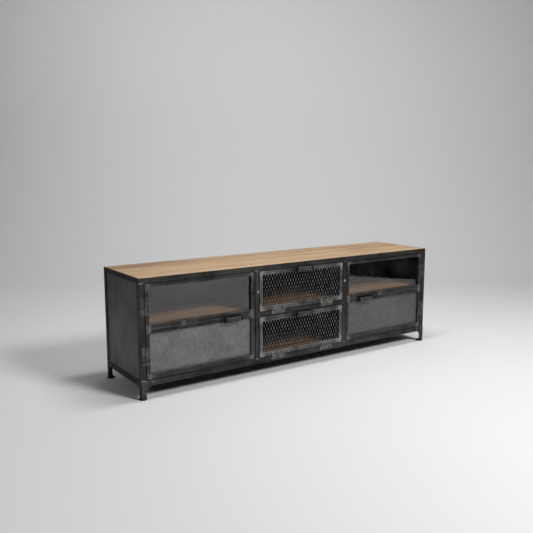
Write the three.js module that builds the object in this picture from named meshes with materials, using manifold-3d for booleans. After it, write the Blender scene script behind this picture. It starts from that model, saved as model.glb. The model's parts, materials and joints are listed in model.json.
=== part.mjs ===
// Industrial TV stand: an angle-iron frame with a wooden top, two glazed steel doors
// and, between them, two drop-down flaps of expanded metal.
//
// Millimetres, +Z up, front towards -Y. The origin is on the floor, under the middle of
// the whole object's outline.

import * as THREE from 'three';
import { mergeVertices } from 'three/addons/utils/BufferGeometryUtils.js';
import Module from 'manifold-3d';

// ---------------------------------------------------------------- driving dimensions

const WIDTH = 1808;
const DEPTH = 405;
const HEIGHT = 555;

const FIT = 0.3; // clear distance between pieces that touch
const GAP = 2; // clear distance above and below a door or flap
const SIDE_GAP = 2.5; // and beside it
const OVERCUT = 1; // how far a cutting solid runs past the face that it cuts

const ANGLE_LEG = 25;
const STEEL = 3; // thickness of angle iron, gussets and straps
const SHEET = 2; // thickness of sheet panels

const RIM_DROP = 24; // height of the top rim's face
const FLOOR_CLEARANCE = 62;
const BOTTOM_RAIL = 26; // height of the bottom rail's face
const BOTTOM_BOARD = 9;
const SHELF_TOP = 333;
const SHELF_BOARD = 18;
const SHELF_SETBACK = 18.5; // distance of the shelf's edge behind the front face
const CLEAT = { width: 10, height: 12, endGap: 8 };

const CENTRE_POST_X = 283; // middle of each centre post
const CENTRE_POST_WIDTH = 22;
const MID_RAIL_BOTTOM = 300;
const MID_RAIL_TOP = 322;
const MID_RAIL_LEG = 15;

const GLIDE = { radius: 18.5, height: 7, edge: 2, stem: 4, stemTop: 16, sides: 20 };

const LEAF = 15; // depth of door and flap frames, front to back
const DOOR = { stile: 20, topRail: 18, bottomRail: 25, midLow: 300, midHigh: 344 };
const FLAP = { stile: 20, lowTopRail: 24, lowBottomRail: 24, highTopRail: 20, highBottomRail: 24 };
const REBATE = { width: 6, depth: 3.3 };
const GLASS = 3;
const GROOVE = { width: 1.6, depth: 1.2 };

const MESH = {
  thickness: 2.5, setback: 2.5, pitchX: 34, pitchZ: 73, strand: 5, knuckle: 9, border: 3,
};

const HINGE = {
  length: 80, barrel: 3.5, pin: 1.6, pinSides: 10, bore: 2, boreSides: 12, leaf: 2, relief: 4, gap: 0.8,
};
const DOOR_LEAF_REACH = 20; // pin to the far edge of a door hinge's plate
const FLAP_LEAF_REACH = 17;
const DOOR_HINGE_Z = [427, 200];
const FLAP_HINGE_X = [-156, 156];

const PULL = { bridge: 92, foot: 20, height: 23, stands: 18, slant: 4 };
const DOOR_PULL_X = 430;
const DOOR_PULL_Z = 311;

const HOOK = { thickness: 3, arm: 7, ring: 7.5, slot: 5, pivot: 6.5, shank: 4.5, z: 425, stands: 3.5 };
const STUD = { radius: 3.5, length: 7.5, x: 281 };
const HOOK_PIVOT_X = 306.5;

const GUSSET = { arm: 59, rise: 62, overlap: 1, top: 87, arcSteps: 8 };

// ---------------------------------------------------------------- derived positions

const halfWidth = WIDTH / 2;
const front = -DEPTH / 2;
const back = DEPTH / 2;
const rimBottom = HEIGHT - RIM_DROP;
const postTop = rimBottom - FIT;
const railTop = FLOOR_CLEARANCE + BOTTOM_RAIL;
const boardBottom = FLOOR_CLEARANCE + STEEL + FIT;
const boardTop = boardBottom + BOTTOM_BOARD;
const panelBottom = boardTop + FIT;
const shelfBottom = SHELF_TOP - SHELF_BOARD;
const shelfFront = front + SHELF_SETBACK;
const cleatTop = shelfBottom - FIT;

const insideX = halfWidth - STEEL - FIT; // outer face of the side panels
const insideY = back - STEEL - FIT; // outer face of the back panel
const bayOuter = insideX - SHEET - FIT; // side bays end here
const bayBack = insideY - SHEET - FIT;

const postEdge = halfWidth - ANGLE_LEG; // inner edge of a corner post's front leg
const centrePostOuter = CENTRE_POST_X + CENTRE_POST_WIDTH / 2;
const centrePostInner = CENTRE_POST_X - CENTRE_POST_WIDTH / 2;
const doorInner = centrePostOuter + SIDE_GAP;
const doorOuter = postEdge - SIDE_GAP;
const doorBottom = railTop + GAP;
const doorTop = rimBottom - GAP;
const flapEdge = centrePostInner - SIDE_GAP;
const flapLow = { bottom: doorBottom, top: MID_RAIL_BOTTOM - GAP };
const flapHigh = { bottom: MID_RAIL_TOP + GAP, top: doorTop };
const leafBack = front + LEAF;

const hingeY = front - FIT - HINGE.barrel; // pins stand clear of the front face
const doorHingeX = postEdge - SIDE_GAP / 2;
const flapHingeZ = { low: railTop + GAP / 2, high: MID_RAIL_TOP + GAP / 2 };

const glideInset = ANGLE_LEG / 2;
const glideReach = GLIDE.radius - glideInset; // how far a glide stands outside the posts
const middleY = (PULL.stands - glideReach) / 2; // puts the outline's middle on the origin

// ---------------------------------------------------------------- materials

const steelDark = { color: 0x343536, roughness: 0.5, metalness: 0.75 };
const steelWorn = { color: 0x4a4b4c, roughness: 0.42, metalness: 0.8 };
const steelSheet = { color: 0x66676a, roughness: 0.48, metalness: 0.7 };
const steelMesh = { color: 0x3d3d3e, roughness: 0.5, metalness: 0.75 };
const woodTop = { color: 0xc09b72, roughness: 0.6, metalness: 0 };
const woodShelf = { color: 0xb48f6c, roughness: 0.65, metalness: 0 };
const paneGlass = { color: 0xcdd6d6, roughness: 0.05, metalness: 0, transparent: true, opacity: 0.35 };
const footPlastic = { color: 0x1b1b1c, roughness: 0.7, metalness: 0 };

// ---------------------------------------------------------------- solids

const wasm = await Module();
wasm.setup();

// A closed three.js geometry as a solid that can be joined and cut.
function solidOf(geometry) {
  const plain = geometry.index ? geometry.toNonIndexed() : geometry.clone();
  plain.deleteAttribute('normal');
  plain.deleteAttribute('uv');
  const merged = mergeVertices(plain, 1e-4);
  return new wasm.Manifold(new wasm.Mesh({
    numProp: 3,
    vertProperties: new Float32Array(merged.attributes.position.array),
    triVerts: new Uint32Array(merged.index.array),
  }));
}

function geometryOf(solid) {
  const mesh = solid.getMesh();
  const geometry = new THREE.BufferGeometry();
  geometry.setAttribute('position', new THREE.BufferAttribute(mesh.vertProperties, 3));
  geometry.setIndex(new THREE.BufferAttribute(mesh.triVerts, 1));
  geometry.computeVertexNormals();
  return geometry;
}

// A box between two limits on each axis, given in either order.
function block(x, y, z) {
  const size = [x, y, z].map(([a, b]) => Math.abs(b - a));
  const middle = [x, y, z].map(([a, b]) => (a + b) / 2);
  return solidOf(new THREE.BoxGeometry(...size).translate(...middle));
}

// A cylinder on the Y or Z axis, from one point on that axis to another.
function rod(radius, axis, from, to, sides = 16) {
  const geometry = new THREE.CylinderGeometry(radius, radius, Math.abs(to - from), sides);
  const middle = (from + to) / 2;
  if (axis === 'z') {
    return solidOf(geometry.rotateX(Math.PI / 2).translate(0, 0, middle));
  }
  return solidOf(geometry.translate(0, middle, 0));
}

// An outline drawn in X and Z, as a plate between two values of Y.
function plateXZ(outline, yNear, yFar) {
  const depth = yFar - yNear;
  const geometry = new THREE.ExtrudeGeometry(outline, { depth, bevelEnabled: false });
  return geometry.rotateX(Math.PI / 2).translate(0, yFar, 0);
}

function add(group, name, shape, look, position = [0, 0, 0], rotation = [0, 0, 0]) {
  const geometry = shape.isBufferGeometry ? shape : geometryOf(shape);
  const mesh = new THREE.Mesh(geometry, new THREE.MeshStandardMaterial(look));
  mesh.name = name;
  mesh.position.set(...position);
  mesh.rotation.set(...rotation);
  group.add(mesh);
}

// ---------------------------------------------------------------- frame

// Ring of angle iron that the top board lies in: the face outside, the ledge below.
function topRim() {
  const inner = halfWidth - STEEL;
  const innerY = back - STEEL;
  const ledge = halfWidth - ANGLE_LEG;
  const ledgeY = back - ANGLE_LEG;
  return block([-halfWidth, halfWidth], [front, back], [rimBottom, HEIGHT])
    .subtract(block([-inner, inner], [-innerY, innerY], [rimBottom + STEEL, HEIGHT + OVERCUT]))
    .subtract(block([-ledge, ledge], [-ledgeY, ledgeY], [rimBottom - OVERCUT, rimBottom + STEEL + OVERCUT]));
}

// The same ring at the bottom. Its faces stop at the corner posts and its ledge runs
// on inside them.
function bottomRim() {
  const inner = halfWidth - STEEL;
  const innerY = back - STEEL;
  const ledge = halfWidth - ANGLE_LEG;
  const ledgeY = back - ANGLE_LEG;
  const high = railTop + OVERCUT;
  const low = FLOOR_CLEARANCE - OVERCUT;
  let ring = block([-halfWidth, halfWidth], [front, back], [FLOOR_CLEARANCE, railTop])
    .subtract(block([-inner, inner], [-innerY, innerY], [FLOOR_CLEARANCE + STEEL, high]))
    .subtract(block([-ledge, ledge], [-ledgeY, ledgeY], [low, high]));
  for (const sx of [-1, 1]) {
    for (const sy of [-1, 1]) {
      const outX = sx * (halfWidth + OVERCUT);
      const outY = sy * (back + OVERCUT);
      const faceStrip = block([outX, sx * (ledge - FIT)], [outY, sy * (innerY - FIT)], [low, high]);
      const sideStrip = block([outX, sx * (inner - FIT)], [outY, sy * (ledgeY - FIT)], [low, high]);
      ring = ring.subtract(faceStrip).subtract(sideStrip);
    }
  }
  return ring;
}

// Corner post: two legs, and a pad at the foot with a hole for the glide's stem.
function cornerPost(sx, sy) {
  const x = sx * halfWidth;
  const y = sy * back;
  const bottom = GLIDE.height + FIT;
  const faceLeg = block([x, sx * (halfWidth - ANGLE_LEG)], [y, sy * (back - STEEL)], [bottom, postTop]);
  const sideLeg = block([x, sx * (halfWidth - STEEL)], [y, sy * (back - ANGLE_LEG)], [bottom, postTop]);
  const pad = block([x, sx * (halfWidth - ANGLE_LEG)], [y, sy * (back - ANGLE_LEG)],
    [bottom, bottom + STEEL]);
  const hole = rod(GLIDE.stem + FIT, 'z', bottom - STEEL, bottom + 2 * STEEL)
    .translate(sx * (halfWidth - glideInset), sy * (back - glideInset), 0);
  return faceLeg.add(sideLeg).add(pad).subtract(hole);
}

// Centre post: a tee, with its web behind the face.
function centrePost(sx) {
  const x = sx * CENTRE_POST_X;
  const z = [railTop + FIT, postTop];
  const face = block([x - CENTRE_POST_WIDTH / 2, x + CENTRE_POST_WIDTH / 2], [front, front + STEEL], z);
  const web = block([x - STEEL / 2, x + STEEL / 2], [front, front + ANGLE_LEG], z);
  return face.add(web);
}

// Rail between the two flaps: an angle with its ledge at the bottom.
function flapRail() {
  const x = [FIT - centrePostInner, centrePostInner - FIT];
  const face = block(x, [front, front + STEEL], [MID_RAIL_BOTTOM, MID_RAIL_TOP]);
  const ledge = block(x, [front, front + MID_RAIL_LEG], [MID_RAIL_BOTTOM, MID_RAIL_BOTTOM + STEEL]);
  return face.add(ledge);
}

// Adjustable glide: a disc on a threaded stem.
function glide() {
  const { radius, height, edge, stem, stemTop } = GLIDE;
  const profile = [
    [0, 0], [radius - edge, 0], [radius, edge], [radius, height - edge],
    [radius - edge, height], [stem, height], [stem, stemTop], [0, stemTop],
  ].map(([r, z]) => new THREE.Vector2(r, z));
  return new THREE.LatheGeometry(profile, GLIDE.sides).rotateX(Math.PI / 2);
}

// Plate in the corner between a front leg and the bottom rail, with a hollow lower edge.
function gusset(sx) {
  const outer = halfWidth - GUSSET.overlap;
  const inner = outer - GUSSET.arm;
  const low = GUSSET.top - GUSSET.rise;
  const legEdge = postEdge + GUSSET.overlap;
  const railEdge = FLOOR_CLEARANCE + GUSSET.overlap;
  const outline = new THREE.Shape();
  outline.moveTo(sx * outer, low);
  outline.lineTo(sx * legEdge, low);
  for (let i = 0; i <= GUSSET.arcSteps; i += 1) {
    const angle = (i / GUSSET.arcSteps) * (Math.PI / 2);
    const x = legEdge - (legEdge - inner) * (1 - Math.cos(angle));
    const z = low + (railEdge - low) * Math.sin(angle);
    outline.lineTo(sx * x, z);
  }
  outline.lineTo(sx * inner, GUSSET.top);
  outline.lineTo(sx * outer, GUSSET.top);
  outline.closePath();
  return plateXZ(outline, front - FIT - STEEL, front - FIT);
}

// ---------------------------------------------------------------- panels and boards

// Upright sheet with a cleat for a shelf on one or both faces.
function uprightPanel(x, sides, y) {
  let panel = block([x - SHEET / 2, x + SHEET / 2], y, [panelBottom, postTop]);
  for (const side of sides) {
    panel = panel.add(block([x, x + side * (SHEET / 2 + CLEAT.width)],
      [shelfFront + CLEAT.endGap, bayBack - CLEAT.endGap], [cleatTop - CLEAT.height, cleatTop]));
  }
  return panel;
}

// ---------------------------------------------------------------- doors and flaps

// Rectangular frame standing in the front plane, cut through by the given windows.
function leafFrame(x, z, windows) {
  let frame = block(x, [front, leafBack], z);
  for (const hole of windows) {
    frame = frame.subtract(block(hole.x, [front - OVERCUT, leafBack + OVERCUT], hole.z));
  }
  return frame;
}

// The same limits grown by a margin on every side.
function grown({ x, z }, margin) {
  const wider = ([a, b]) => [Math.min(a, b) - margin, Math.max(a, b) + margin];
  return { x: wider(x), z: wider(z) };
}

// Diamond lattice cut from a sheet, inside the given window.
function expandedMetal(window) {
  const { thickness, setback, pitchX, pitchZ, strand, knuckle, border } = MESH;
  const sheet = grown(window, -FIT);
  const open = grown(sheet, -border);
  const near = front + setback;
  const far = near + thickness;
  const halfX = (pitchX - strand) / 2;
  const halfZ = (pitchZ - knuckle) / 2;
  const middleZ = (sheet.z[0] + sheet.z[1]) / 2;
  const across = Math.ceil((sheet.x[1] - sheet.x[0]) / pitchX) + 1;
  const up = Math.ceil((sheet.z[1] - sheet.z[0]) / pitchZ) + 1;
  const holes = [];
  for (let i = -across; i <= across; i += 1) {
    for (let j = -up; j <= up; j += 1) {
      if ((i + j) % 2 === 0) {
        const cx = (i * pitchX) / 2;
        const cz = middleZ + (j * pitchZ) / 2;
        const touchesX = Math.abs(cx) - halfX < open.x[1];
        const touchesZ = Math.abs(cz - middleZ) - halfZ < open.z[1] - middleZ;
        if (touchesX && touchesZ) {
          const diamond = new THREE.Shape([
            new THREE.Vector2(cx - halfX, cz), new THREE.Vector2(cx, cz - halfZ),
            new THREE.Vector2(cx + halfX, cz), new THREE.Vector2(cx, cz + halfZ),
          ]);
          holes.push(solidOf(plateXZ(diamond, near - OVERCUT, far + OVERCUT)));
        }
      }
    }
  }
  const inside = block(open.x, [near - OVERCUT, far + OVERCUT], open.z);
  const cut = wasm.Manifold.union(holes).intersect(inside);
  return block(sheet.x, [near, far], sheet.z).subtract(cut);
}

// Pull: a strap bent into a bridge between two flat feet, drawn with its back at y = 0.
function pull() {
  const reach = PULL.stands - FIT;
  const half = PULL.bridge / 2;
  const flat = half - PULL.slant;
  const end = half + PULL.foot;
  const outline = new THREE.Shape([
    [-end, 0], [-half + STEEL, 0], [-flat + STEEL, STEEL - reach], [flat - STEEL, STEEL - reach],
    [half - STEEL, 0], [end, 0], [end, -STEEL], [half, -STEEL], [flat, -reach], [-flat, -reach],
    [-half, -STEEL], [-end, -STEEL],
  ].map(([x, y]) => new THREE.Vector2(x, y)));
  const geometry = new THREE.ExtrudeGeometry(outline, { depth: PULL.height, bevelEnabled: false });
  return geometry.translate(0, 0, -PULL.height / 2);
}

// Hinge leaves, drawn with the pin on Z through the origin and the door's face at +Y.
// The fixed leaf lies towards -X and carries the outer knuckles and the pin; the moving
// leaf lies towards +X and carries the middle knuckle.
function hingeLeaf(reach, side, zones) {
  const face = HINGE.barrel;
  const y = [face - HINGE.leaf, face];
  const half = HINGE.length / 2;
  let leaf = block([side * HINGE.relief, side * reach], y, [-half, half]);
  for (const [low, high] of zones) {
    leaf = leaf.add(block([0, side * (HINGE.relief + 1)], y, [low, high]))
      .add(rod(HINGE.barrel, 'z', low, high));
  }
  return leaf;
}

function fixedLeaf(reach) {
  const half = HINGE.length / 2;
  const knuckle = HINGE.length / 6;
  const leaf = hingeLeaf(reach, -1, [[-half, -knuckle], [knuckle, half]]);
  return leaf.add(rod(HINGE.pin, 'z', -half, half, HINGE.pinSides));
}

function movingLeaf(reach) {
  const knuckle = HINGE.length / 6 - HINGE.gap;
  const leaf = hingeLeaf(reach, 1, [[-knuckle, knuckle]]);
  return leaf.subtract(rod(HINGE.bore, 'z', -HINGE.length, HINGE.length, HINGE.boreSides));
}

// Hook latch, drawn round its pivot with the arm towards side * X. The end of the arm
// is a ring open below, which drops over the stud.
function hookLatch(side) {
  const reach = HOOK_PIVOT_X - STUD.x;
  const near = -HOOK.stands - HOOK.thickness;
  const far = -HOOK.stands;
  const ringX = side * reach;
  const disc = (radius, x, y0, y1) => rod(radius, 'y', y0, y1).translate(x, 0, 0);
  return disc(HOOK.pivot, 0, near, far)
    .add(disc(HOOK.ring, ringX, near, far))
    .add(block([0, ringX], [near, far], [-HOOK.arm / 2, HOOK.arm / 2]))
    .subtract(disc(HOOK.slot, ringX, near - OVERCUT, far + OVERCUT))
    .subtract(block([ringX - HOOK.slot, ringX + HOOK.slot],
      [near - OVERCUT, far + OVERCUT], [-2 * HOOK.ring, 0]))
    .add(disc(HOOK.shank, 0, near, 0));
}

// ---------------------------------------------------------------- assembly

const stand = new THREE.Group();
stand.name = 'tv_stand';
stand.position.y = middleY;

const corners = [
  { name: 'front_left', sx: -1, sy: -1 },
  { name: 'front_right', sx: 1, sy: -1 },
  { name: 'back_left', sx: -1, sy: 1 },
  { name: 'back_right', sx: 1, sy: 1 },
];
const flanks = [{ name: 'left', sx: -1 }, { name: 'right', sx: 1 }];

// Frame
add(stand, 'top_rim', topRim(), steelDark);
add(stand, 'bottom_rim', bottomRim(), steelDark);
for (const { name, sx, sy } of corners) {
  add(stand, `${name}_post`, cornerPost(sx, sy), steelDark);
  const place = [sx * (halfWidth - glideInset), sy * (back - glideInset), 0];
  add(stand, `${name}_glide`, glide(), footPlastic, place);
}
for (const { name, sx } of flanks) {
  add(stand, `${name}_centre_post`, centrePost(sx), steelDark);
  add(stand, `${name}_gusset`, gusset(sx), steelWorn);
}
add(stand, 'flap_rail', flapRail(), steelDark);

// Boards and sheets
add(stand, 'top_board', block([-insideX, insideX], [-insideY, insideY],
  [rimBottom + STEEL + FIT, HEIGHT]), woodTop);
add(stand, 'bottom_board', block([-insideX, insideX], [-insideY, insideY],
  [boardBottom, boardTop]), woodShelf);
add(stand, 'back_panel', block([-bayOuter, bayOuter], [insideY - SHEET, insideY],
  [panelBottom, postTop]), steelSheet);
for (const { name, sx } of flanks) {
  add(stand, `${name}_side_panel`,
    uprightPanel(sx * (insideX - SHEET / 2), [-sx], [-insideY, insideY]), steelSheet);
  add(stand, `${name}_divider`,
    uprightPanel(sx * CENTRE_POST_X, [-1, 1], [front + ANGLE_LEG + FIT, bayBack]), steelSheet);
}
const webClear = STEEL / 2 + FIT; // shelves end beside the tee posts' webs
const shelfZ = [shelfBottom, SHELF_TOP];
const shelfY = [shelfFront, bayBack];
const centreShelfEdge = CENTRE_POST_X - webClear;
add(stand, 'centre_shelf', block([-centreShelfEdge, centreShelfEdge], shelfY, shelfZ), woodShelf);
for (const { name, sx } of flanks) {
  const x = [sx * (CENTRE_POST_X + webClear), sx * bayOuter];
  add(stand, `${name}_shelf`, block(x, shelfY, shelfZ), woodShelf);
}

// Doors: each group stands on its hinge line, and its pieces are placed from there.
const pullShape = pull();
for (const { name, sx } of flanks) {
  const pinX = sx * doorHingeX;
  const x = [sx * doorInner, sx * doorOuter];
  const openX = [sx * (doorInner + DOOR.stile), sx * (doorOuter - DOOR.stile)];
  const window = { x: openX, z: [DOOR.midHigh, doorTop - DOOR.topRail] };
  const lower = { x: openX, z: [doorBottom + DOOR.bottomRail, DOOR.midLow] };
  const middle = (DOOR.midLow + DOOR.midHigh) / 2;

  let frame = leafFrame(x, [doorBottom, doorTop], [window, lower]);
  for (const opening of [window, lower]) {
    const rebate = grown(opening, REBATE.width);
    frame = frame.subtract(block(rebate.x, [leafBack - REBATE.depth, leafBack + OVERCUT], rebate.z));
  }
  frame = frame.subtract(block(openX, [front - OVERCUT, front + GROOVE.depth],
    [middle - GROOVE.width / 2, middle + GROOVE.width / 2]));

  const door = new THREE.Group();
  door.position.set(pinX, hingeY, 0);
  stand.add(door);
  const home = [-pinX, -hingeY, 0];
  add(door, `${name}_door_frame`, frame, steelWorn, home);
  const pane = grown(window, REBATE.width - FIT);
  add(door, `${name}_door_glass`,
    block(pane.x, [leafBack - GLASS, leafBack], pane.z), paneGlass, home);
  const sheet = grown(lower, REBATE.width - FIT);
  const sheetNear = leafBack - GLASS;
  add(door, `${name}_door_panel`,
    block(sheet.x, [sheetNear, sheetNear + SHEET], sheet.z), steelSheet, home);
  add(door, `${name}_door_pull`, pullShape.clone(), steelWorn,
    [sx * DOOR_PULL_X - pinX, front - FIT - hingeY, DOOR_PULL_Z]);

  const turn = [0, sx < 0 ? 0 : Math.PI, 0];
  DOOR_HINGE_Z.forEach((z, i) => {
    const level = ['upper', 'lower'][i];
    add(door, `${name}_door_${level}_hinge_leaf`, movingLeaf(DOOR_LEAF_REACH), steelWorn,
      [0, 0, z], turn);
    add(stand, `${name}_post_${level}_hinge_leaf`, fixedLeaf(DOOR_LEAF_REACH), steelWorn,
      [pinX, hingeY, z], turn);
  });

  add(door, `${name}_hook`, hookLatch(-sx), steelWorn,
    [sx * HOOK_PIVOT_X - pinX, front - FIT - hingeY, HOOK.z]);
  const stud = rod(STUD.radius, 'y', -STUD.length, 0);
  add(stand, `${name}_stud`, stud, steelWorn, [sx * STUD.x, front - FIT, HOOK.z]);
}

// Flaps: hinged along their lower edges.
const flaps = [
  { name: 'lower', pinZ: flapHingeZ.low, z: flapLow, top: FLAP.lowTopRail, bottom: FLAP.lowBottomRail },
  { name: 'upper', pinZ: flapHingeZ.high, z: flapHigh, top: FLAP.highTopRail, bottom: FLAP.highBottomRail },
];
for (const { name, pinZ, z, top, bottom } of flaps) {
  const window = {
    x: [FLAP.stile - flapEdge, flapEdge - FLAP.stile],
    z: [z.bottom + bottom, z.top - top],
  };
  const flap = new THREE.Group();
  flap.position.set(0, hingeY, pinZ);
  stand.add(flap);
  const home = [0, -hingeY, -pinZ];
  add(flap, `${name}_flap_frame`,
    leafFrame([-flapEdge, flapEdge], [z.bottom, z.top], [window]), steelWorn, home);
  add(flap, `${name}_flap_mesh`, expandedMetal(window), steelMesh, home);
  add(flap, `${name}_flap_pull`, pullShape.clone(), steelWorn,
    [0, front - FIT - hingeY, z.top - top / 2 - pinZ]);
  FLAP_HINGE_X.forEach((x, i) => {
    const side = ['left', 'right'][i];
    const turn = [0, -Math.PI / 2, 0];
    add(flap, `${name}_flap_${side}_hinge_leaf`, movingLeaf(FLAP_LEAF_REACH), steelWorn,
      [x, 0, 0], turn);
    add(stand, `${name}_rail_${side}_hinge_leaf`, fixedLeaf(FLAP_LEAF_REACH), steelWorn,
      [x, hingeY, pinZ], turn);
  });
}

export default stand;
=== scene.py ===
import json
import math

import bmesh
import bpy
from mathutils import Matrix, Vector, noise


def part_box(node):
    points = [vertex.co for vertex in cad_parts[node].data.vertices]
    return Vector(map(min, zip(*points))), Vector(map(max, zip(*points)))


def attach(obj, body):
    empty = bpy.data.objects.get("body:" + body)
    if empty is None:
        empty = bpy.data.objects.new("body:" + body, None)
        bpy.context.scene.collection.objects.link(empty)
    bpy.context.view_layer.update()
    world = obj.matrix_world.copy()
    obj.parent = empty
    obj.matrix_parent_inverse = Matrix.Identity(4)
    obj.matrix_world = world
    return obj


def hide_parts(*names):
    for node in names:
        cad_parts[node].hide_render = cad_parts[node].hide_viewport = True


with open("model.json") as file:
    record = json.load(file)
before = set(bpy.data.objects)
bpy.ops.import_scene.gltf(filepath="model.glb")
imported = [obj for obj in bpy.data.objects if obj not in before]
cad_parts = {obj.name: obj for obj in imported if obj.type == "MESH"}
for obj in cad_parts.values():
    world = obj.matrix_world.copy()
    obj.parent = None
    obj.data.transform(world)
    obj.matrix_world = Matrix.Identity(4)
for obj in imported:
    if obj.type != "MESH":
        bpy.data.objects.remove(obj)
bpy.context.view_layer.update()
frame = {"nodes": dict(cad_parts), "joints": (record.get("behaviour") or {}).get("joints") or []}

# Looks for the industrial TV stand: worn steel, wood boards, glass and expanded metal.
# Metres, +Z up, front towards -Y. Lengths given in millimetres are multiplied by MM.

MM = 0.001
nodes = frame["nodes"]
scene = bpy.context.scene


# ---------------------------------------------------------------- camera

CAMERA_PLACE = (-2.0685, -2.8609, 1.0566)
CAMERA_DOWN = 8.9221  # degrees below the horizon
CAMERA_YAW = 34.6455  # degrees from +Y towards +X
CAMERA_LENS = 45.11
CAMERA_SENSOR = 36

camera = bpy.data.objects.new("camera", bpy.data.cameras.new("camera"))
scene.collection.objects.link(camera)
camera.location = CAMERA_PLACE
camera.rotation_euler = (math.radians(90 - CAMERA_DOWN), 0, -math.radians(CAMERA_YAW))
camera.data.lens = CAMERA_LENS
camera.data.sensor_width = CAMERA_SENSOR
camera.data.clip_end = 60
scene.camera = camera
scene.view_settings.view_transform = "Standard"


# ---------------------------------------------------------------- node helpers

def linear(red, green, blue):
    """A display colour, 0 to 255, as the linear colour that shaders take."""
    channels = []
    for value in (red, green, blue):
        value /= 255
        channels.append(value / 12.92 if value <= 0.04045 else ((value + 0.055) / 1.055) ** 2.4)
    return (*channels, 1)


class Graph:
    """A new material and short ways of adding nodes to it."""

    def __init__(self, name):
        self.material = bpy.data.materials.new(name)
        self.material.use_nodes = True
        self.tree = self.material.node_tree
        self.tree.nodes.clear()
        self.out = self.tree.nodes.new("ShaderNodeOutputMaterial")
        self.place = self.add("TexCoord").outputs["Object"]

    def add(self, kind, values=None, **settings):
        """A node. Each value is a number or colour for an input, or another node's output to link."""
        node = self.tree.nodes.new("ShaderNode" + kind)
        for key, value in settings.items():
            setattr(node, key, value)
        for key, value in (values or {}).items():
            if isinstance(value, bpy.types.NodeSocket):
                self.tree.links.new(value, node.inputs[key])
            else:
                node.inputs[key].default_value = value
        return node

    def math(self, operation, *values, clamp=False):
        inputs = dict(enumerate(values))
        return self.add("Math", inputs, operation=operation, use_clamp=clamp).outputs[0]

    def times(self, a, b):
        return self.math("MULTIPLY", a, b)

    def length(self, a, b):
        """The long side of a right triangle."""
        return self.math("SQRT", self.math("ADD", self.math("POWER", a, 2.0), self.math("POWER", b, 2.0)))

    def sway(self, pattern, strength, base=0.5, clamp=False):
        """base moved up and down by a pattern that varies about one half."""
        return self.math("MULTIPLY_ADD", self.math("SUBTRACT", pattern, 0.5), strength, base, clamp=clamp)

    def at(self, axis):
        """Where the point lies along one axis."""
        return self.add("SeparateXYZ", {0: self.place}).outputs[axis]

    def facing(self, axis):
        """How far the face looks along one axis, from -1 to 1."""
        return self.add("SeparateXYZ", {0: self.add("NewGeometry").outputs["True Normal"]}).outputs[axis]

    def scaled(self, scale, turn=(0, 0, 0)):
        return self.add("Mapping", {"Vector": self.place, "Scale": scale, "Rotation": turn}).outputs[0]

    def noise(self, scale, detail=4, vector=None, roughness=0.55, distortion=0):
        values = {"Vector": vector or self.place, "Scale": scale, "Detail": detail,
                  "Roughness": roughness, "Distortion": distortion}
        return self.add("TexNoise", values).outputs["Fac"]

    def ramp(self, fac, stops):
        node = self.add("ValToRGB", {"Fac": fac})
        elements = node.color_ramp.elements
        while len(elements) < len(stops):
            elements.new(0.5)
        for element, (position, colour) in zip(elements, stops):
            element.position = position
            element.color = colour
        return node.outputs[0]

    def step(self, value, low, high):
        """0 below low and 1 above high, smooth between. With high under low it falls instead."""
        values = {"Value": value, "From Min": low, "From Max": high}
        return self.add("MapRange", values, interpolation_type="SMOOTHSTEP").outputs[0]

    def mix(self, fac, a, b):
        """A colour between a and b."""
        return self.add("Mix", {0: fac, 6: a, 7: b}, data_type="RGBA").outputs[2]

    def blend(self, fac, a, b):
        """A number between a and b."""
        return self.add("Mix", {0: fac, 2: a, 3: b}, data_type="FLOAT").outputs[0]

    def bump(self, height, strength, distance):
        values = {"Height": height, "Strength": strength, "Distance": distance}
        return self.add("Bump", values).outputs[0]

    def finish(self, shader):
        self.tree.links.new(shader, self.out.inputs["Surface"])
        return self.material


# ---------------------------------------------------------------- materials

def near_edges(g, width):
    """1 at the metal's corners and edges, falling to 0 within the given width."""
    soft = g.add("Bevel", {"Radius": width}, samples=6).outputs[0]
    plain = g.add("NewGeometry").outputs["True Normal"]
    facing = g.add("VectorMath", {0: soft, 1: plain}, operation="DOT_PRODUCT").outputs["Value"]
    return g.step(facing, 0.995, 0.80)


def folded(g, axis, centre, half):
    """Distance inside the bar that ends at centre +- half along an axis: 0 at its outer edge."""
    away = g.math("ABSOLUTE", g.math("SUBTRACT", g.at(axis), centre))
    return g.math("SUBTRACT", half, away)


PAINTED_SHADE = (0.004, 0.004, 0.004, 1)  # painted shade: the near-black laid into the gaps between pieces, along edges and on faces turned from the light
GAP_SHADE_EDGE = (0.0042, 0.0024)  # the painted shade of the gap round a frame fades in between these distances from its outer edge
GAP_SHADE_COVER = 0.85
GROUND_REACH = (0.066, 0.032)  # grinding fades in between these distances from a frame's corner
GROUND_RAGGED = 0.03
GROUND_COVER = 0.72
PULL_SHADOW_COVER = 0.8
INNER_SHADE_DARK, INNER_SHADE_LIGHT = linear(3, 3, 3), linear(9, 9, 9)  # painted shade: panels painted nearly black as seen inside the bays
INNER_ROUGH, INNER_GLOSS = 0.9, 0.08
BRUSHING = {"x": (5, 190, 190), "z": (190, 190, 5), None: (60, 60, 60)}  # noise scales for each streak
SCRATCHES = (  # noise scale and turn of each set of scratches
    ((340, 340, 9), (0.2, 0.35, 0)),
    ((12, 300, 420), (0, 0.22, 0.1)),
    ((260, 260, 14), (0, -0.5, 0)),
)


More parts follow.
